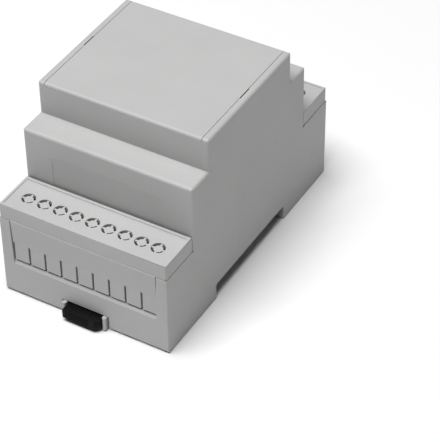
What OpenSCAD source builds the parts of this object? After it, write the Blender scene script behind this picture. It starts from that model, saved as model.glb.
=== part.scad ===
// Modular enclosure for a 35 mm top-hat rail: a stepped hood, a base with the rail hooks,
// a snap-in top panel, two perforated terminal covers and a sliding rail clip.
// The origin is the centre of the rail seat. +Z points away from the rail, X runs along
// the rail, and the clip is at -Y. All sizes are in millimetres.

/* [Case] */
// Overall width, along the rail
width = 53.3; // [52:0.1:72]
// Overall length, across the rail
length = 90; // [86:0.5:100]
// Height of the top panel above the rail seat
top_h = 53; // [50:0.5:60]
// Height of the second step above the rail seat
step_h = 42.6; // [38:0.2:45]
// Height of the terminal covers above the rail seat
shelf_h = 26.4; // [24:0.2:30]
// Length of the top tier, which shows through a distribution board's window
top_len = 45; // [40:0.5:48]
// Length of the second tier
step_len = 62; // [56:0.5:66]
// Depth of the feet below the rail seat
foot_h = 5; // [4.8:0.1:6]
// Wall thickness of the hood
wall = 2; // [1.6:0.1:2.4]
// Radius of the hood's moulded edges
edge_r = 0.8; // [0.4:0.1:1]
// Radius of the feet's outer corners, seen from the side
foot_r = 1.4; // [0.8:0.1:2]
// Radius of the hood's rim along its lower edge
rim_r = 0.3; // [0.2:0.1:0.5]
// Depth of the shallow field in each upper front wall
field_d = 0.12; // [0.05:0.01:0.3]
// Width of the shallow field in each upper front wall
field_w = 35.6; // [30:0.2:40]

/* [Rail] */
// Width of the rail
rail_w = 35; // [34.5:0.1:35.5]
// Thickness of the rail's flange
rail_t = 1; // [0.8:0.1:1.2]
// Room between the rail's edge and the side wall's recess
rail_room = 1.95; // [1.5:0.05:2.5]
// How far the hooks and the clip reach over the rail's flange
hook_bite = 1.2; // [0.8:0.1:1.6]
// Clearance under the rail's flange
flange_gap = 0.25; // [0.15:0.05:0.5]
// Width of each fixed hook
hook_w = 9; // [6:0.5:12]
// Distance of each hook's middle from the middle of the case
hook_x = 14; // [11:0.5:17]
// Distance of the front foot's ribs from the middle of the case
front_rib_x = 15; // [11:0.5:20]
// Distance of the rear foot's ribs from the middle of the case
rear_rib_x = 10; // [5:0.5:20]

/* [Base] */
// Thickness of the floor
floor_t = 2; // [1.6:0.1:2.6]
// Height of the rail seat's pad below the floor
pad_h = 0.3; // [0.2:0.1:0.6]
// Thickness of the ribs under the floor
rib_t = 1.5; // [1:0.1:2]
// Clearance between the base and the hood
base_gap = 0.2; // [0.1:0.05:0.3]
// How far the ribs stop short of the surface that the case stands on
rib_lift = 0.5; // [0.3:0.1:0.8]
// Height of the board pillars above the floor
pillar_h = 4; // [3:0.5:8]
// Outer radius of a board pillar
pillar_r = 2.6; // [2.2:0.1:3.2]
// Radius of the pilot hole for a board screw
pilot_r = 1.1; // [0.9:0.05:1.3]
// Distance between the pillars along the rail
pillar_dx = 35; // [28:1:38]
// Distance between the pillars across the rail
pillar_dy = 52; // [40:1:60]

/* [Board guides] */
// Clear width of a guide slot for an upright board
slot_gap = 1.8; // [1.6:0.1:2.4]
// Thickness of a guide rib
guide_t = 1.2; // [0.8:0.1:1.6]
// How far a guide rib stands out of the side wall
guide_out = 2; // [1.2:0.1:2.6]
// Distance of a guide slot from the middle of the case
guide_y = 13; // [11.5:0.5:15]

/* [Top panel] */
// Thickness of the panel
panel_t = 2; // [1.6:0.1:2.6]
// Gap between the panel and the side rims
panel_gap = 0.15; // [0.1:0.05:0.25]
// Gap between the panel and the wall ends that it lies on
seat_gap = 0.05; // [0.05:0.05:0.2]
// Thickness of the panel where it lies on the wall ends
lap_t = 1; // [0.8:0.1:1.4]
// Width of the pry notches in the side rims
pry_w = 0.65; // [0.5:0.05:0.9]
// Length of the pry notches in the side rims
pry_l = 4.8; // [4:0.2:7]
// Depth of the pry notches
pry_d = 2.8; // [2.2:0.1:4]
// Length of the panel's legs
leg_l = 5.5; // [4:0.5:7]
// Width of the panel's legs
leg_w = 4; // [3:0.5:5]
// Distance of the panel's legs from the middle of the case
leg_y = 7.5; // [6:0.5:8]

/* [Snap legs] */
// Thickness of the legs
leg_t = 1.2; // [0.9:0.1:1.5]
// Clearance between a leg and the wall beside it
leg_gap = 0.3; // [0.2:0.05:0.4]
// How far a leg's nib stands out
nib = 0.18; // [0.1:0.02:0.2]

/* [Terminal covers] */
// Number of ways in each cover
ways = 9; // [5:1:9]
// Distance between the ways
pitch = 5.15; // [4.8:0.05:5.2]
// Height of the cover's lip
lip_h = 5; // [4.4:0.1:6]
// How far the cover's outside lies inside the hood's
cover_inset = 0.2; // [0.1:0.05:0.4]
// Gap between the cover and the hood
cover_gap = 0.2; // [0.1:0.05:0.3]
// Gap between the cover's back edge and the wall behind it
back_gap = 0.5; // [0.3:0.05:0.8]
// Wall thickness of the cover
skin = 1.4; // [1:0.1:1.8]
// Radius of the cover's edges
cover_r = 0.4; // [0.2:0.1:0.5]
// Width of the raised border round the cover's top
border_w = 0.9; // [0.6:0.1:1.4]
// Height of the raised border
border_h = 0.25; // [0.1:0.05:0.4]
// Outer radius of a knock-out for a screwdriver
ring_r = 1.95; // [1.6:0.05:2.1]
// Width of the slots round a knock-out
ring_slot = 0.55; // [0.4:0.05:0.7]
// Width of the webs that hold a knock-out
ring_web = 0.75; // [0.5:0.05:1]
// Distance of the knock-outs from the end of the case
ring_in = 6.1; // [5.6:0.1:6.6]
// Height of the window's sill above the rail seat, at the face of the hood
sill_h = 6.3; // [5:0.1:8]
// Rise of the sloping sill
sill_rise = 0.8; // [0.4:0.1:1.2]
// Gap between the break-off fingers and the sill
finger_gap = 0.7; // [0.4:0.1:1]
// Length of the break-off fingers
finger_l = 5.9; // [4.5:0.1:8]
// Width of the slots between the fingers
finger_slot = 0.65; // [0.5:0.05:0.9]
// Depth of the score line across the top of the fingers
score_d = 0.15; // [0.1:0.05:0.3]
// Height of the score line
score_h = 0.35; // [0.2:0.05:0.5]
// Thickness of the tongue
tongue_t = 1.2; // [0.8:0.1:1.4]
// How far the tongue lies behind the face of the hood
tongue_in = 0.4; // [0.25:0.05:0.6]
// Taper of each side of the tongue, from the lip to the sill
tongue_taper = 0.35; // [0:0.05:0.4]
// How far the cover's legs reach below its lip
cover_leg_l = 3.6; // [2.5:0.1:5]

/* [Rail clip] */
// Width of the clip
clip_w = 11.4; // [9:0.2:14]
// Running clearance beside, over and under the clip
clip_gap = 0.2; // [0.15:0.05:0.25]
// Travel that frees the rail
clip_travel = 4; // [3:0.5:5]
// How far the finger tab stands out of the hood
tab_out = 3.1; // [2:0.1:5]
// Height of the finger tab
tab_h = 3; // [2.4:0.1:3.2]
// Size of the finger tab's corner chamfers
tab_chamfer = 1.2; // [0.6:0.1:1.6]
// Height of the clip's underside above the ribs' lower edges
clip_lift = 0.65; // [0.5:0.05:0.8]
// Thickness of the guides beside the clip
guide_rail_t = 1.2; // [0.9:0.1:1.6]
// How far the guides stand out of the hood
guide_rail_out = 1.2; // [0.5:0.1:2]
// Width of the lips that carry the clip
carry_w = 1; // [0.6:0.1:1.4]
// Gap between the guides and the notch in the hood
notch_gap = 0.5; // [0.3:0.1:0.8]
// Radius of the notch's lower corners
notch_r = 1; // [0.5:0.1:1.5]
// Width of the stop that limits the clip
stop_w = 3; // [2:0.2:4]
// Length of the stop that limits the clip
stop_l = 2.5; // [2:0.1:3.5]
// Width of the grip ribs on the finger tab
grip_w = 7.6; // [5:0.2:9]

/* [Hidden] */
$fn = 48;
grey = [0.72, 0.72, 0.71];
black = [0.06, 0.06, 0.06];

// Depth of cut past a surface
past = 1;
// Half sizes of the case
half_w = width / 2;
half_l = length / 2;
inner_w = half_w - wall;
wall_back = half_l - wall;
half_top = top_len / 2;
half_step = step_len / 2;
// Half length of the recess that the rail passes through, and its height
recess_y = rail_w / 2 + rail_room;
recess_z = 0.2;
field_top = 6;
// Where the hood ends under a terminal cover
lip_z = shelf_h - lip_h;
// Tongue and its window
tongue_w = ways * pitch / 2;
window_gap = 0.2;
sill_z = sill_h + sill_rise;
sill_d = sill_rise * 0.9;
finger_z = sill_z + finger_gap;
ledge_h = 3;
// Base
floor_z = pad_h + floor_t;
base_w = inner_w - base_gap;
base_l = half_l - wall - base_gap;
rib_z = -foot_h + rib_lift;
rib_inset = 1;
flange_z = -rail_t - flange_gap;
hook_y = rail_w / 2 - hook_bite;
hook_tip = 1.3;
hook_lead = 0.3;
pad_y = hook_y - hook_lead;
under_floor = pad_h + floor_t / 2;
pillar_z = pad_h + floor_t + pillar_h;
pilot_z = pad_h + floor_t - 0.8;
// Hood's inner ribs stand on the floor with this gap
stand_gap = 0.1;
catch_out = 0.5;
catch_h = 1.2;
catch_l = 6;
catch_in = 2;
// Panel
panel_w = inner_w - panel_gap;
panel_rib_in = 4;
panel_rib_h = 1.6;
wall_end_z = top_h - lap_t - seat_gap;
leg_x = inner_w - leg_gap - leg_t;
nib_h = 1.4;
groove_d = nib + 0.06;
nib_room = 0.2;
leg_z = top_h - panel_t - leg_l;
// Cover
cover_w = half_w - cover_inset;
hollow_w = cover_w - skin;
lip_r = 0.1;
cover_y0 = half_l - cover_inset;
cover_y1 = half_step + cover_gap;
back_y = half_step + back_gap;
back_h = 1.2;
cover_leg_d = 1.5;
cover_leg_y = leg_gap - wall_back;
cover_leg_z = lip_z - cover_leg_l;
// Clip
clip_half = clip_w / 2;
clip_z0 = rib_z + clip_lift;
clip_z1 = pad_h - clip_gap;
guide_rail_x = clip_half + clip_gap;
carry_z = clip_z0 - clip_gap;
tab_z1 = clip_z0 + tab_h;
nose_h = 1.2;
nose_l = 2.7;
spring_x = clip_half - 1.4;
spring_gap = 0.8;
grips = 4;
grip_d = 0.35;
grip_step = tab_h / (grips + 0.4);
guide_rail_z = tab_z1 + guide_rail_t / 2;
notch_z = guide_rail_z + clip_gap;
notch_half = guide_rail_x + guide_rail_t + notch_gap;
thick_y = wall_back - clip_travel - leg_gap;
stop_gap = 0.3;
stop_lift = 0.8;
stop_slope = 1.2;
window_w = stop_w / 2 + stop_gap;
window_y1 = -recess_y - rib_t - nose_l;
stop_y = window_y1 - stop_gap - clip_travel - stop_l;
window_y0 = stop_y - stop_gap;

// Rectangle about the first axis, from low to high, with rounded lower and upper corners
module soft_rect(half, low, high, r_low, r_high) {
    translate([-half + r_low, low]) square([2 * (half - r_low), high - r_high - low]);
    translate([-half + r_high, low + r_low]) square([2 * (half - r_high), high - low - r_low]);
    translate([-half, low + r_low]) square([2 * half, high - low - r_low - r_high]);
    for (side = [-1, 1]) {
        translate([side * (half - r_low), low + r_low]) circle(r_low);
        translate([side * (half - r_high), high - r_high]) circle(r_high);
    }
}

// Block whose twelve edges are rounded: upper and upright edges by r_edge,
// lower edges by r_end at the two ends and by r_side along the two sides
module soft_block(half_x, half_y, low, high, r_edge, r_end, r_side) {
    intersection() {
        rotate([90, 0, 90])
            linear_extrude(2 * half_x, center = true)
                soft_rect(half_y, low, high, r_end, r_edge);
        rotate([90, 0, 0])
            linear_extrude(2 * half_y, center = true)
                soft_rect(half_x, low, high, r_side, r_edge);
        translate([0, 0, low])
            linear_extrude(high - low)
                soft_rect(half_x, -half_y, half_y, r_edge, r_edge);
    }
}

// Plain block between two corners
module block(low, high) {
    translate(low) cube(high - low);
}

// Shape drawn in the Y-Z plane, drawn out along X about x = 0
module along_x(len) {
    rotate([90, 0, 90]) linear_extrude(len, center = true) children();
}

// Shape drawn in the X-Z plane, drawn out from y0 to y1
module along_y(y0, y1) {
    translate([0, y1, 0]) rotate([90, 0, 0]) linear_extrude(y1 - y0) children();
}

// The children, and the same turned to the other end of the case
module both_ends() {
    children();
    rotate([0, 0, 180]) children();
}

// The children, and their mirror image on the other side wall
module both_sides() {
    children();
    mirror([1, 0, 0]) children();
}

// ---- hood ----

module hood_outside() {
    soft_block(half_w, half_l, -foot_h, lip_z - cover_gap, rim_r, foot_r, rim_r);
    soft_block(half_w, half_step, -foot_h + foot_r, step_h, edge_r, rim_r, rim_r);
    soft_block(half_w, half_top, -foot_h + foot_r, top_h, edge_r, rim_r, rim_r);
}

module hood_inside() {
    low = -foot_h - past;
    block([-inner_w, -wall_back, low], [inner_w, wall_back, lip_z + past]);
    block([-inner_w, -half_step + wall, low], [inner_w, half_step - wall, step_h - wall]);
    block([-inner_w, -half_top + wall, low], [inner_w, half_top - wall, top_h + past]);
    // room for the panel between the side rims
    block([-inner_w, -half_top - past, wall_end_z], [inner_w, half_top + past, top_h + past]);
}

// Recess in both side walls for the rail, with rounded upper corners
module rail_recess() {
    along_x(width + 2 * past)
        soft_rect(recess_y, -foot_h - 3 * past, recess_z, past, edge_r);
}

// Window for a cover's tongue: it widens towards the lip, and its sill slopes outwards
module tongue_window() {
    low = tongue_w - tongue_taper + window_gap;
    high = tongue_w + window_gap;
    along_y(-half_l - past, -wall_back + past)
        polygon([[-low, sill_z], [low, sill_z], [high, lip_z], [high, lip_z + past],
                 [-high, lip_z + past], [-high, lip_z]]);
    along_x(2 * low)
        polygon([[-half_l - past, sill_h], [-half_l, sill_h], [-half_l + sill_d, sill_z],
                 [-half_l + sill_d, sill_z + past], [-half_l - past, sill_z + past]]);
}

// Shallow field in an upper front wall
module wall_field() {
    block([-field_w / 2, -half_step - past, lip_z - past],
          [field_w / 2, -half_step + field_d, step_h - field_top]);
}

// Wall behind a terminal cover, down past the cover's back edge
module shelf_wall() {
    block([-inner_w, -half_step, lip_z - ledge_h], [inner_w, -half_step + wall, step_h - wall / 2]);
}

// Upright rib beside a board's edge
module guide_rib(y0) {
    block([inner_w - guide_out, y0, floor_z + stand_gap], [inner_w + wall / 2, y0 + guide_t, step_h - wall]);
}

// Pair of ribs that hold the edge of a board between them
module board_guide() {
    guide_rib(guide_y - slot_gap / 2 - guide_t);
    guide_rib(guide_y + slot_gap / 2);
}

// Wedge on a side wall that the base snaps over
module base_catch() {
    y1 = wall_back - catch_in;
    z1 = pad_h - stand_gap;
    along_y(y1 - catch_l, y1)
        polygon([[inner_w + wall / 2, z1], [inner_w - catch_out, z1],
                 [inner_w, z1 - catch_h], [inner_w + wall / 2, z1 - catch_h]]);
}

// Notch in a side rim where a blade lifts the panel
module pry_notch() {
    block([inner_w - past, -pry_l / 2, top_h - pry_d], [inner_w + pry_w, pry_l / 2, top_h + past]);
}

// Groove in a side wall that takes the nib of a leg that reaches down to low
module nib_groove(y0, y1, low) {
    block([inner_w - past, y0 - nib_room, low - nib_room],
          [inner_w + groove_d, y1 + nib_room, low + nib_h + nib_room]);
}

// Notch in the front wall's lower edge for the clip and its guides
module clip_notch() {
    along_y(-half_l - past, -wall_back + past) {
        soft_rect(notch_half, -foot_h - 3 * past, notch_z, past, rim_r);
        for (side = [-1, 1]) notch_corner(side);
    }
}

// What is cut off one lower corner of the notch to round it
module notch_corner(side) {
    translate([side * (notch_half + notch_r), -foot_h + notch_r])
        difference() {
            translate([-side * notch_r / 2, -notch_r]) square([notch_r, 2 * notch_r], center = true);
            circle(notch_r);
        }
}

module housing() {
    color(grey) {
        difference() {
            union() {
                difference() {
                    hood_outside();
                    hood_inside();
                }
                both_ends() shelf_wall();
                both_sides() both_ends() board_guide();
                both_sides() both_ends() base_catch();
            }
            rail_recess();
            both_ends() tongue_window();
            both_ends() wall_field();
            both_sides() pry_notch();
            both_sides() both_ends() nib_groove(leg_y - leg_w / 2, leg_y + leg_w / 2, leg_z);
            both_sides() both_ends() nib_groove(-cover_leg_y - cover_leg_d, -cover_leg_y, cover_leg_z);
            clip_notch();
        }
    }
}

// ---- base ----

// Rail hook: its lip reaches under the rail's flange
module rail_hook() {
    back = recess_y + rib_t / 2;
    translate([hook_x, 0, 0])
        along_x(hook_w)
            polygon([[back, rib_z], [hook_y + hook_tip, rib_z], [hook_y, rib_z + hook_tip],
                     [hook_y, flange_z - hook_lead], [hook_y + hook_lead, flange_z], [back, flange_z]]);
}

// Guide beside the clip: a rail with a lip under it that carries the clip
module clip_guide() {
    x0 = guide_rail_x;
    x1 = guide_rail_x + guide_rail_t;
    nose = guide_rail_t / 2;
    y0 = -half_l - guide_rail_out;
    translate([(x0 + x1) / 2, y0 + nose, rib_z]) cylinder(h = guide_rail_z - rib_z, r = nose);
    block([x0, y0 + nose, rib_z], [x1, -base_l, guide_rail_z]);
    block([x0, -base_l, rib_z], [x1, -recess_y - rib_t / 2, under_floor]);
    block([x0 - carry_w, -wall_back, rib_z], [x1 - nose, -recess_y - rib_t / 2, carry_z]);
}

// Rib under the floor, along Y
module foot_rib(x, y0, y1) {
    block([x, y0, rib_z], [x + rib_t, y1, under_floor]);
}

// Stop in the clip's window, sloped so that the clip can be pushed over it
module clip_stop() {
    low = clip_z0 + stop_lift;
    along_x(stop_w)
        polygon([[stop_y, under_floor], [stop_y, low], [stop_y + stop_l / 2, low],
                 [stop_y + stop_l, low + stop_slope], [stop_y + stop_l, under_floor]]);
}

// The children at each pillar for a level board
module at_pillars(z) {
    for (sx = [-1, 1], sy = [-1, 1])
        translate([sx * pillar_dx / 2, sy * pillar_dy / 2, z]) children();
}

module base() {
    color(grey) {
        difference() {
            union() {
                // floor, and the pad that lies on the rail
                block([-base_w, -base_l, pad_h], [base_w, base_l, floor_z]);
                block([-base_w, -pad_y, 0], [base_w, pad_y, under_floor]);
                // walls on both sides of the rail
                both_ends() block([-base_w, -recess_y - rib_t, rib_z], [base_w, -recess_y, under_floor]);
                both_sides() rail_hook();
                // ribs under the floor at both ends
                both_sides() {
                    foot_rib(front_rib_x, -base_l + rib_inset, -recess_y - rib_t / 2);
                    foot_rib(rear_rib_x, recess_y + rib_t / 2, base_l - rib_inset);
                }
                both_sides() clip_guide();
                clip_stop();
                at_pillars(under_floor) cylinder(h = pillar_z - under_floor, r = pillar_r);
            }
            at_pillars(pilot_z) cylinder(h = pillar_z + past - pilot_z, r = pilot_r);
            // way for the clip through the wall beside the rail
            block([-guide_rail_x, -recess_y - rib_t - past, rib_z - past],
                  [guide_rail_x, -recess_y + past, pad_h]);
        }
    }
}

// ---- top panel ----

// Nib at a leg's foot, drawn in the X-Z plane on the leg's outer face
module leg_nib(low) {
    x = leg_x + leg_t;
    polygon([[leg_x, low], [x, low], [x + nib, low + nib_h / 2], [x, low + nib_h], [leg_x, low + nib_h]]);
}

module panel_leg() {
    y0 = leg_y - leg_w / 2;
    y1 = leg_y + leg_w / 2;
    block([leg_x, y0, leg_z], [leg_x + leg_t, y1, top_h - panel_t / 2]);
    along_y(y0, y1) leg_nib(leg_z);
}

// Side view of the panel: full thickness between the walls, a thinner lap on the wall ends
module panel_side() {
    inner = half_top - wall - panel_gap;
    translate([-inner, top_h - panel_t]) square([2 * inner, panel_t - lap_t / 2]);
    intersection() {
        soft_rect(half_top, top_h - 4 * edge_r, top_h, edge_r, edge_r);
        translate([-half_top, top_h - lap_t]) square([top_len, lap_t]);
    }
}

// Low rib under the panel that stands inside the wall
module panel_rib() {
    outer = half_top - wall - 2 * panel_gap;
    half = panel_w - panel_rib_in;
    block([-half, outer - leg_t, top_h - panel_t - panel_rib_h], [half, outer, top_h - panel_t / 2]);
}

module top_panel() {
    color(grey) {
        along_x(2 * panel_w) panel_side();
        both_ends() panel_rib();
        both_sides() both_ends() panel_leg();
    }
}

// ---- terminal cover ----

// Four slots round a knock-out, with the webs between them along X and Y
module ring_slots() {
    linear_extrude(skin * 4, center = true)
        difference() {
            circle(ring_r);
            circle(ring_r - ring_slot);
            square([2 * ring_r + past, ring_web], center = true);
            square([ring_web, 2 * ring_r + past], center = true);
        }
}

// Tongue with its comb of break-off fingers
module tongue() {
    low = tongue_w - tongue_taper;
    front = -half_l + tongue_in;
    difference() {
        along_y(front, front + tongue_t)
            polygon([[-low, finger_z], [low, finger_z], [tongue_w, lip_z], [tongue_w, shelf_h - skin],
                     [-tongue_w, shelf_h - skin], [-tongue_w, lip_z]]);
        for (i = [0 : ways - 1])
            translate([-tongue_w + i * pitch, front - past, finger_z - past])
                cube([finger_slot, tongue_t + 2 * past, finger_l + past]);
        // score line across the top of the fingers
        translate([-tongue_w - past, front - past, finger_z + finger_l])
            cube([2 * (tongue_w + past), past + score_d, score_h]);
    }
}

// Leg that stands inside the hood's corner, behind its front wall
module cover_leg() {
    y1 = cover_leg_y + cover_leg_d;
    block([leg_x, cover_leg_y, cover_leg_z], [leg_x + leg_t, y1, shelf_h - skin]);
    along_y(cover_leg_y, y1) leg_nib(cover_leg_z);
}

// Cap of the cover: top plate with a raised border, lip and side returns
module cap() {
    plate_z = shelf_h - border_h;
    difference() {
        translate([0, -(cover_y0 + cover_y1) / 2, 0])
            soft_block(cover_w, (cover_y0 - cover_y1) / 2, lip_z, shelf_h, cover_r, lip_r, lip_r);
        // hollow below, and the sunk field inside the border
        block([-hollow_w, -cover_y0 + skin, lip_z - past], [hollow_w, -back_y - skin, plate_z - skin]);
        block([-cover_w + border_w, -cover_y0 + border_w, plate_z],
              [cover_w - border_w, -back_y - border_w, shelf_h + past]);
        // the back edge stands off the wall, and is lower than the lip
        block([-hollow_w, -back_y, lip_z - past], [hollow_w, -cover_y1 + past, shelf_h + past]);
        block([-hollow_w, -back_y - skin - past, lip_z - past],
              [hollow_w, -back_y + past, plate_z - skin - back_h]);
        for (i = [0 : ways - 1])
            translate([-tongue_w + (i + 0.5) * pitch, -half_l + ring_in, shelf_h]) ring_slots();
    }
}

module terminal_cover() {
    cap();
    tongue();
    both_sides() cover_leg();
}

module front_terminal_cover() {
    color(grey) terminal_cover();
}

module rear_terminal_cover() {
    color(grey) rotate([0, 0, 180]) terminal_cover();
}

// ---- rail clip ----

// Side view of the clip: finger tab, thick slide, and the nose under the rail's flange
module clip_side() {
    tab_y = half_l + tab_out;
    polygon([[-tab_y, clip_z0], [-tab_y, tab_z1], [-thick_y, tab_z1], [-thick_y, clip_z1],
             [-recess_y - rib_t, clip_z1], [-recess_y - rib_t, flange_z], [-hook_y, flange_z],
             [-hook_y, flange_z - nose_h], [-hook_y - nose_h, clip_z0]]);
}

// Plan view of the clip, with chamfered corners at the finger tab
module clip_plan() {
    y0 = -half_l - tab_out;
    polygon([[-clip_half + tab_chamfer, y0], [clip_half - tab_chamfer, y0], [clip_half, y0 + tab_chamfer],
             [clip_half, -hook_y + past], [-clip_half, -hook_y + past], [-clip_half, y0 + tab_chamfer]]);
}

// Slot through the clip, from the window's near end
module through_clip(x0, x1, y1) {
    block([x0, window_y0, clip_z0 - past], [x1, y1, clip_z1 + past]);
}

module rail_clip() {
    color(black) {
        difference() {
            intersection() {
                along_x(clip_w) clip_side();
                translate([0, 0, clip_z0 - past]) linear_extrude(foot_h + 3 * past) clip_plan();
            }
            // window round the stop, and slots that let the sides spring
            through_clip(-window_w, window_w, window_y1);
            both_sides() through_clip(spring_x - spring_gap, spring_x, window_y1 + past);
            // grooves between the grip ribs on the finger tab
            for (i = [0 : grips - 1])
                translate([-grip_w / 2, -half_l - tab_out, clip_z0 + grip_step * (i + 0.75)])
                    rotate([45, 0, 0]) cube([grip_w, grip_d, grip_d]);
        }
    }
}

housing();
base();
top_panel();
front_terminal_cover();
rear_terminal_cover();
rail_clip();
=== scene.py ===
import math

import bpy
from mathutils import Matrix, Vector


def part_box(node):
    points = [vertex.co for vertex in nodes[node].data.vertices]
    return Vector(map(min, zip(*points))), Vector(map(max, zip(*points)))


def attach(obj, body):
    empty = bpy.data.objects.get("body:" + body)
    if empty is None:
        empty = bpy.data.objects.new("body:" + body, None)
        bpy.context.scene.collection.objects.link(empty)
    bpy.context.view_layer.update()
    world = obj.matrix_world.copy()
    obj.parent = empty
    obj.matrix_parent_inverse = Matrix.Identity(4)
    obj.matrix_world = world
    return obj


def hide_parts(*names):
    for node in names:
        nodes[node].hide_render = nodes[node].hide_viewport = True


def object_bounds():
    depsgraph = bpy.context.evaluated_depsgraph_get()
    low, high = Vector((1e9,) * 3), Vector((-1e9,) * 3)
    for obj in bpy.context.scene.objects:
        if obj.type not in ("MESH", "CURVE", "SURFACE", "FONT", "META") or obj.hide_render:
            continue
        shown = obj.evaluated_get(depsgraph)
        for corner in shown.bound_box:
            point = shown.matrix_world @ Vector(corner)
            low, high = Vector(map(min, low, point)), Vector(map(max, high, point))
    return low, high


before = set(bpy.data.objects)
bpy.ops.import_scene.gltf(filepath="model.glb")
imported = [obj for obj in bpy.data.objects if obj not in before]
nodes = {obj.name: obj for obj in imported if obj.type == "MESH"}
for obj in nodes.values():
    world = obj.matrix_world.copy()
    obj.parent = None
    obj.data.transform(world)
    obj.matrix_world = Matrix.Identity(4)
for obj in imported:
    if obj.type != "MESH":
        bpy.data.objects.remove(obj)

cad_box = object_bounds()


# ---------------------------------------------------------------------------
# Camera. A long lens looks down on the case from its front right, so that the
# rail clip, the front terminal cover and both steps face it.
def aimed_camera(place, azimuth, elevation, roll, lens):
    """Camera turned about the vertical, tipped down, then rolled, all in degrees."""
    turn, tip, lean = (math.radians(angle) for angle in (azimuth, elevation, roll))
    ahead = Vector((-math.sin(turn) * math.cos(tip), math.cos(turn) * math.cos(tip), -math.sin(tip)))
    level_right = ahead.cross(Vector((0, 0, 1))).normalized()
    level_up = level_right.cross(ahead)
    right = math.cos(lean) * level_right + math.sin(lean) * level_up
    up = math.cos(lean) * level_up - math.sin(lean) * level_right
    data = bpy.data.cameras.new("camera")
    data.lens = lens
    data.clip_start = 0.01
    data.clip_end = 20
    camera = bpy.data.objects.new("camera", data)
    camera.matrix_world = Matrix.Translation(place) @ Matrix((right, up, -ahead)).transposed().to_4x4()
    bpy.context.scene.collection.objects.link(camera)
    return camera


bpy.context.scene.camera = aimed_camera(
    place=(0.23288, -0.36717, 0.37176), azimuth=30.495, elevation=40.744, roll=-0.652, lens=161.2)


# ---------------------------------------------------------------------------
# Hood: the large light grey shell with the stepped front and back, moulded in
# one piece from a satin plastic. The tool's spark erosion left an even grain,
# and the corners are rubbed a little smoother and carry a painted highlight.
def moulded_plastic(name, colour, edge_highlight_colour, roughness, edge_roughness, grain, edge_width, specular=0.5):
    """Satin moulded plastic: a fine grain, faint flow clouds, rubbed edges with a painted highlight, and
    painted shade in crevices.
    """
    material = bpy.data.materials.new(name)
    material.use_nodes = True
    tree = material.node_tree
    shader = tree.nodes["Principled BSDF"]
    place = tree.nodes.new("ShaderNodeTexCoord")

    def noise(cells_per_metre, detail):
        texture = tree.nodes.new("ShaderNodeTexNoise")
        texture.inputs["Scale"].default_value = cells_per_metre
        texture.inputs["Detail"].default_value = detail
        tree.links.new(place.outputs["Object"], texture.inputs["Vector"])
        return texture.outputs["Fac"]

    def summed(first, second, operation="ADD"):
        node = tree.nodes.new("ShaderNodeMath")
        node.operation = operation
        tree.links.new(first, node.inputs[0])
        tree.links.new(second, node.inputs[1])
        return node.outputs[0]

    def ranged(value, low, high, to_low, to_high):
        node = tree.nodes.new("ShaderNodeMapRange")
        limits = {"From Min": low, "From Max": high, "To Min": to_low, "To Max": to_high}
        for socket, limit in limits.items():
            node.inputs[socket].default_value = limit
        tree.links.new(value, node.inputs["Value"])
        return node.outputs["Result"]

    first_colour, second_colour, mixed_colour = 6, 7, 2

    def mixed(factor, first, second):
        node = tree.nodes.new("ShaderNodeMix")
        node.data_type = "RGBA"
        tree.links.new(factor, node.inputs["Factor"])
        for socket, value in ((first_colour, first), (second_colour, second)):
            if isinstance(value, tuple):
                node.inputs[socket].default_value = value
            else:
                tree.links.new(value, node.inputs[socket])
        return node.outputs[mixed_colour]

    def tinted(share):
        return tuple(share * channel for channel in colour) + (1.0,)

    # edges: where the rounded normal leaves the true one, in patches; the mask gives the edges a rubbed
    # smoothness and a painted highlight
    rounded = tree.nodes.new("ShaderNodeBevel")
    rounded.samples = 6
    rounded.inputs["Radius"].default_value = edge_width
    true = tree.nodes.new("ShaderNodeNewGeometry")
    agreement = tree.nodes.new("ShaderNodeVectorMath")
    agreement.operation = "DOT_PRODUCT"
    tree.links.new(rounded.outputs["Normal"], agreement.inputs[0])
    tree.links.new(true.outputs["Normal"], agreement.inputs[1])
    flat, edge = 0.995, 0.8
    wear_and_highlight_patches = ranged(noise(900.0, 3.0), 0.35, 0.6, 0.35, 1.0)
    rubbed_and_highlit = summed(ranged(agreement.outputs["Value"], flat, edge, 0.0, 1.0), wear_and_highlight_patches, "MULTIPLY")

    # colour: flow clouds, a painted highlight on the edges, then painted shade in narrow slots and gaps
    darkest_cloud, lightest_cloud, crevice_shade_tint = 0.975, 1.02, 0.12
    clouds = mixed(ranged(noise(55.0, 4.0), 0.3, 0.7, 0.0, 1.0),
                   tinted(darkest_cloud), tinted(lightest_cloud))
    # painted shade: occlusion darkens the colour to near-black in narrow slots and gaps, standing in for the
    # shade inside them
    closeness = tree.nodes.new("ShaderNodeAmbientOcclusion")
    closeness.samples = 8
    closeness.inputs["Distance"].default_value = 0.0012
    shut, open_air = 0.02, 0.14
    unshaded_share = ranged(closeness.outputs["AO"], shut, open_air, 0.0, 1.0)
    # painted highlight: the edges are mixed towards a lighter colour, standing in for the light their
    # roundings catch
    highlit_colour = mixed(rubbed_and_highlit, clouds, edge_highlight_colour + (1.0,))
    tree.links.new(mixed(unshaded_share, tinted(crevice_shade_tint), highlit_colour), shader.inputs["Base Color"])

    # gloss: uneven over the faces, smoother on the edges
    unevenness = 0.04
    face_gloss = ranged(noise(420.0, 3.0), 0.3, 0.7, roughness - unevenness, roughness + unevenness)
    edge_gloss = ranged(rubbed_and_highlit, 0.0, 1.0, 0.0, edge_roughness - roughness)
    tree.links.new(summed(face_gloss, edge_gloss), shader.inputs["Roughness"])
    shader.inputs["IOR"].default_value = 1.5
    shader.inputs["Specular IOR Level"].default_value = specular

    # grain
    bump = tree.nodes.new("ShaderNodeBump")
    bump.inputs["Strength"].default_value = 0.35
    bump.inputs["Distance"].default_value = grain
    tree.links.new(noise(5200.0, 2.0), bump.inputs["Height"])
    tree.links.new(bump.outputs["Normal"], shader.inputs["Normal"])
    return material


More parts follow.
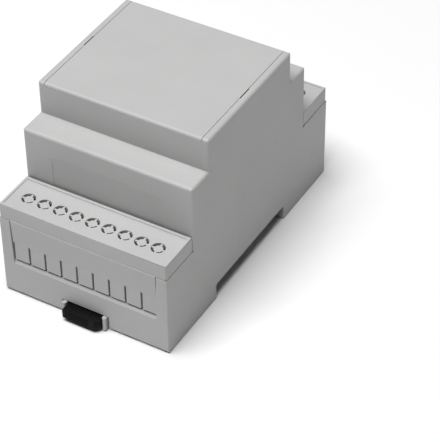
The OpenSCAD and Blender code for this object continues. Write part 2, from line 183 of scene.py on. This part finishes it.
def dress(node, material):
    """Gives a part of the model its finish."""
    part = nodes[node]
    part.data.materials.clear()
    part.data.materials.append(material)


light_grey = (0.4, 0.4, 0.398)
# lighter grey used as a painted highlight on the rounded edges
edge_highlight_grey = (0.47, 0.47, 0.467)
hood_plastic = moulded_plastic("hood_plastic", light_grey, edge_highlight_grey, roughness=0.5,
                               edge_roughness=0.4, grain=0.00003, edge_width=0.0004)
dress("housing", hood_plastic)


# ---------------------------------------------------------------------------
# Rims: a low bead along the hood's edge, part of the same moulding. It stands
# just outside the lip and the side returns of each terminal cover and hides
# the joint under them.
def select_only(piece):
    """Leaves one piece selected and active."""
    bpy.ops.object.select_all(action="DESELECT")
    piece.select_set(True)
    bpy.context.view_layer.objects.active = piece


def start_editing(piece, kind):
    """Opens a piece in edit mode with none of its vertices, edges or faces selected."""
    select_only(piece)
    bpy.ops.object.mode_set(mode="EDIT")
    bpy.ops.mesh.select_mode(type=kind)
    bpy.ops.mesh.select_all(action="DESELECT")
    bpy.ops.object.mode_set(mode="OBJECT")


def block_piece(name, low, high):
    """Box between two corners, as a start for a piece, with its place in its mesh."""
    bpy.ops.object.select_all(action="DESELECT")
    bpy.ops.mesh.primitive_cube_add(size=1, location=[(a + b) / 2 for a, b in zip(low, high)])
    piece = bpy.context.object
    piece.name = name
    piece.scale = [b - a for a, b in zip(low, high)]
    bpy.ops.object.transform_apply(location=True, rotation=True, scale=True)
    return piece


def rounded_edges(piece, width, angle):
    """Rounds the edges of a piece that are sharper than an angle, and shades it smooth between them."""
    select_only(piece)
    bevel = piece.modifiers.new("bevel", "BEVEL")
    bevel.width = width
    bevel.segments = 3
    bevel.limit_method = "ANGLE"
    bevel.angle_limit = math.radians(angle)
    bpy.ops.object.modifier_apply(modifier="bevel")
    bpy.ops.object.shade_smooth_by_angle(angle=math.radians(angle))


def copied(piece, name, mirror_x=1, turned=False):
    """Copy of a piece with its own mesh, mirrored or turned half round about the vertical."""
    twin = piece.copy()
    twin.data = piece.data.copy()
    twin.name = name
    bpy.context.scene.collection.objects.link(twin)
    half_turn = -1 if turned else 1
    twin.data.transform(Matrix.Diagonal((mirror_x * half_turn, half_turn, 1, 1)))
    if mirror_x < 0:
        twin.data.flip_normals()
    return twin


def join_hood(*pieces):
    """Makes pieces part of the hood's moulding."""
    for piece in pieces:
        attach(piece, "case")


hood_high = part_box("housing")[1]
cover_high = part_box("front_terminal_cover")[1]
lip_h = 0.005
lip_z = cover_high.z - lip_h
rim_t, rim_h, rim_up, rim_r = 0.00019, 0.0005, 0.00006, 0.00009
rim_end_gap = 0.0003
window_x = 0.0234
rim_inner_y = -hood_high.y + rim_t
rim = block_piece("rim_front_right", (hood_high.x - rim_t, -hood_high.y, lip_z - rim_h),
                  (hood_high.x, cover_high.y - rim_end_gap, lip_z + rim_up))
select_only(rim)
bpy.ops.object.mode_set(mode="EDIT")
bpy.ops.mesh.select_all(action="SELECT")
bpy.ops.mesh.bisect(plane_co=(0, rim_inner_y, 0), plane_no=(0, 1, 0))
bpy.ops.mesh.select_all(action="DESELECT")
bpy.ops.object.mode_set(mode="OBJECT")
facing_in = -0.9
for face in rim.data.polygons:
    face.select = face.normal.x < facing_in and face.center.y < rim_inner_y
bpy.ops.object.mode_set(mode="EDIT")
bpy.ops.mesh.select_mode(type="FACE")
bpy.ops.mesh.extrude_region_move(
    TRANSFORM_OT_translate={"value": (window_x - hood_high.x + rim_t, 0, 0)})
bpy.ops.object.mode_set(mode="OBJECT")
rounded_edges(rim, rim_r, angle=40)
rim.data.materials.append(hood_plastic)
join_hood(rim, copied(rim, "rim_front_left", mirror_x=-1), copied(rim, "rim_rear_left", turned=True),
          copied(rim, "rim_rear_right", mirror_x=-1, turned=True))


# ---------------------------------------------------------------------------
# Field ramps: a shallow wedge in the top of each riser's sunken label field,
# part of the same moulding, by which the field runs out flush with the riser.
def moved_corners(piece, chosen, shift):
    """Moves the vertices of a piece that a test on their place picks out."""
    start_editing(piece, "VERT")
    for vertex in piece.data.vertices:
        vertex.select = chosen(vertex.co)
    bpy.ops.object.mode_set(mode="EDIT")
    bpy.ops.transform.translate(value=shift)
    bpy.ops.object.mode_set(mode="OBJECT")


riser_y, field_half, field_d = 0.031, 0.0178, 0.00012
ramp_low, ramp_high = 0.0331, 0.0366
ramp_sunk, ramp_root = 0.000005, 0.0001
ramp_foot = ramp_low + 0.001
ramp = block_piece("field_ramp_front", (-field_half, -riser_y + ramp_sunk, ramp_low),
                   (field_half, -riser_y + field_d + ramp_root, ramp_high))
moved_corners(ramp, lambda place: place.z < ramp_foot and place.y < -riser_y + field_d / 2, (0, field_d, 0))
ramp.data.materials.append(hood_plastic)
join_hood(ramp, copied(ramp, "field_ramp_rear", turned=True))


# ---------------------------------------------------------------------------
# Pry notch lips: a strip along the outer side of each notch in the hood's top,
# part of the same moulding, which leaves a slit just wide enough for a blade.
panel_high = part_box("top_panel")[1]
panel_gap = 0.00015
notch_x = panel_high.x + panel_gap
notch_w, notch_l, notch_d, slit_w = 0.00065, 0.0048, 0.0028, 0.00018
top_gap = 0.00001
notch_lip = block_piece("notch_lip_right", (notch_x + slit_w, -notch_l / 2, hood_high.z - notch_d),
                        (notch_x + notch_w, notch_l / 2, hood_high.z - top_gap))
notch_lip.data.materials.append(hood_plastic)
join_hood(notch_lip, copied(notch_lip, "notch_lip_left", mirror_x=-1))


# ---------------------------------------------------------------------------
# Base: the floor, the ribs and the rail hooks, moulded from the same plastic.
# It snaps into the hood from below, and its walls are left a little glossier.
dress("base", moulded_plastic("base_plastic", light_grey, edge_highlight_grey, roughness=0.46,
                              edge_roughness=0.38, grain=0.00002, edge_width=0.0003))


# ---------------------------------------------------------------------------
# Top panel: the flat plate between the side rims, which snaps in on four legs.
# Its face has the coarsest grain, because a label or a keypad goes on it.
dress("top_panel", moulded_plastic("panel_plastic", light_grey, edge_highlight_grey, roughness=0.54,
                                   edge_roughness=0.44, grain=0.00004, edge_width=0.0003))


# ---------------------------------------------------------------------------
# Terminal covers: thin plastic caps with rings of slots that break out for a
# screwdriver and a comb of fingers that break off for wires. One sits at each
# end, where its tongue snaps into the hood's window.
def merged_copy(node, name):
    """Copy of a part of the model with its loose triangles joined up."""
    piece = copied(nodes[node], name)
    select_only(piece)
    bpy.ops.object.mode_set(mode="EDIT")
    bpy.ops.mesh.select_all(action="SELECT")
    bpy.ops.mesh.remove_doubles(threshold=0.000001)
    bpy.ops.object.mode_set(mode="OBJECT")
    return piece


def combined(piece, other, operation):
    """Cuts another shape out of a piece or joins it on, and removes the other shape."""
    select_only(piece)
    step = piece.modifiers.new("step", "BOOLEAN")
    step.operation = operation
    step.solver = "EXACT"
    step.object = other
    bpy.ops.object.modifier_apply(modifier="step")
    bpy.data.objects.remove(other)


def round_bar(name, radius, length, centre, sides, turn=(0, 0, 0)):
    """Round bar, upright unless it is turned, as a start for a cut."""
    bpy.ops.object.select_all(action="DESELECT")
    bpy.ops.mesh.primitive_cylinder_add(vertices=sides, radius=radius, depth=length, location=centre,
                                        rotation=turn)
    bpy.ops.object.transform_apply(location=True, rotation=True, scale=True)
    bpy.context.object.name = name
    return bpy.context.object


def upright_bar(name, radius, low, high):
    """Fine round bar about the vertical axis, between two heights."""
    return round_bar(name, radius, high - low, (0, 0, (low + high) / 2), sides=64)


cover_plastic = moulded_plastic("cover_plastic", light_grey, edge_highlight_grey, roughness=0.48,
                                edge_roughness=0.4, grain=0.00002, edge_width=0.0002)
for cover in ("front_terminal_cover", "rear_terminal_cover"):
    dress(cover, cover_plastic)

# cutter for one knock-out: a ring of four slots with a shallow pocket over it
ring_r, slot_w, web_w = 0.00202, 0.00072, 0.0006
border_h, slot_d, past = 0.00025, 0.002, 0.001
pocket_d, pocket_play, pocket_h = 0.0003, 0.00002, 0.0012
field_z = cover_high.z - border_h
slot_foot = field_z - slot_d
knock_out = upright_bar("knock_out", ring_r, slot_foot, field_z + past)
combined(knock_out, upright_bar("core", ring_r - slot_w, slot_foot - past, field_z + 2 * past), "DIFFERENCE")
for half_x, half_y in ((2 * ring_r, web_w / 2), (web_w / 2, 2 * ring_r)):
    combined(knock_out, block_piece("web", (-half_x, -half_y, slot_foot - past),
                                    (half_x, half_y, field_z + 2 * past)), "DIFFERENCE")
pocket = upright_bar("pocket", ring_r + pocket_play, field_z - pocket_d, field_z + pocket_h)
combined(knock_out, pocket, "UNION")

front_cover = merged_copy("front_terminal_cover", "front_cover")
ways, pitch, ring_in = 9, 0.00515, 0.0061
for way in range(ways):
    cutter = copied(knock_out, "cutter")
    cutter.data.transform(Matrix.Translation(((way + 0.5 - ways / 2) * pitch, ring_in - hood_high.y, 0)))
    combined(front_cover, cutter, "DIFFERENCE")
bpy.data.objects.remove(knock_out)

# the tongue leans out towards the lip, which leaves a narrow ledge under it
tongue_in, tongue_half, finger_top = 0.00043, 0.02298, 0.01366
ledge_t, ledge_up = 0.0006, 0.0002
lean, flare = 0.0004, 0.00012
tongue_face = -hood_high.y + tongue_in
ledge = block_piece("ledge", (-tongue_half, tongue_face, finger_top),
                    (tongue_half, tongue_face + ledge_t, lip_z + ledge_up))
for side in (-1, 1):
    moved_corners(ledge, lambda place: (place.z > lip_z and place.y < tongue_face + ledge_t / 2
                                        and place.x * side > 0), (side * flare, -lean, 0))
combined(front_cover, ledge, "UNION")
rear_cover = copied(front_cover, "rear_cover", turned=True)
for piece, body, node in ((front_cover, "front_cover", "front_terminal_cover"),
                          (rear_cover, "rear_cover", "rear_terminal_cover")):
    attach(piece, body)
    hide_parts(node)


# ---------------------------------------------------------------------------
# Rail clip: a black slide in a tougher plastic, which a screwdriver or a
# finger pulls out. Its tab is worn a little smoother where it is handled, and
# fine grooves across the face give a hold.
# the faintly lighter black on the clip's edges is a painted highlight
dress("rail_clip", moulded_plastic("clip_plastic", (0.006, 0.006, 0.006), (0.015, 0.015, 0.015),
                                   roughness=0.42, edge_roughness=0.3, grain=0.00003,
                                   edge_width=0.0003, specular=0.06))
clip_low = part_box("rail_clip")[0]
tab_half, tab_back, tab_top = 0.00585, -0.0451, -0.00083
tab_r, corner_cut = 0.0003, 0.00125
tab_front = tab_back - 0.001
tab = block_piece("finger_tab", (-tab_half, clip_low.y, clip_low.z), (tab_half, tab_back, tab_top))
start_editing(tab, "EDGE")
for corner in tab.data.edges:
    ends = [tab.data.vertices[i].co for i in corner.vertices]
    corner.select = all(end.x > 0 and end.y < tab_front for end in ends)
bpy.ops.object.mode_set(mode="EDIT")
bpy.ops.mesh.bevel(offset=corner_cut, segments=1)
bpy.ops.object.mode_set(mode="OBJECT")
rounded_edges(tab, tab_r, angle=50)
clip = merged_copy("rail_clip", "clip_with_tab")
combined(clip, tab, "UNION")
grooves, groove_r, groove_l, groove_x = 3, 0.00022, 0.0076, -0.001
for row in range(grooves):
    groove_z = clip_low.z + (tab_top - clip_low.z) * (row + 1) / (grooves + 1)
    combined(clip, round_bar("groove", groove_r, groove_l, (groove_x, clip_low.y, groove_z), sides=12,
                             turn=(0, math.pi / 2, 0)), "DIFFERENCE")
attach(clip, "clip")
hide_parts("rail_clip")


# ---------------------------------------------------------------------------
# Studio: a plain white paper floor that the case stands on, a soft box
# overhead and a weak one at the front left, in a dim white room.
bpy.ops.object.select_all(action="DESELECT")
bpy.ops.mesh.primitive_plane_add(size=6, location=(0, 0, cad_box[0].z))
floor = bpy.context.object
floor.name = "floor"
paper = bpy.data.materials.new("paper")
paper.use_nodes = True
paper_shader = paper.node_tree.nodes["Principled BSDF"]
paper_shader.inputs["Base Color"].default_value = (0.755, 0.755, 0.755, 1)
paper_shader.inputs["Roughness"].default_value = 0.9
paper_shader.inputs["Specular IOR Level"].default_value = 0.1
floor.data.materials.append(paper)


def soft_box(name, place, size, power, aim=(0, 0, 0.02)):
    """Square area light turned towards the case."""
    data = bpy.data.lights.new(name, "AREA")
    data.size = size
    data.energy = power
    light = bpy.data.objects.new(name, data)
    towards_case = (Vector(aim) - Vector(place)).to_track_quat("-Z", "Y")
    light.matrix_world = Matrix.Translation(place) @ towards_case.to_matrix().to_4x4()
    bpy.context.scene.collection.objects.link(light)


soft_box("overhead", (-0.1, -0.3, 1.5), size=1.0, power=36)
soft_box("front_left", (-0.9, -1.0, 0.5), size=0.8, power=0.1)

room = bpy.data.worlds.new("room")
room.use_nodes = True
bpy.context.scene.world = room
walls = room.node_tree.nodes["Background"]
walls.inputs["Color"].default_value = (1, 1, 1, 1)
walls.inputs["Strength"].default_value = 0.04
bpy.context.scene.view_settings.view_transform = "Standard"
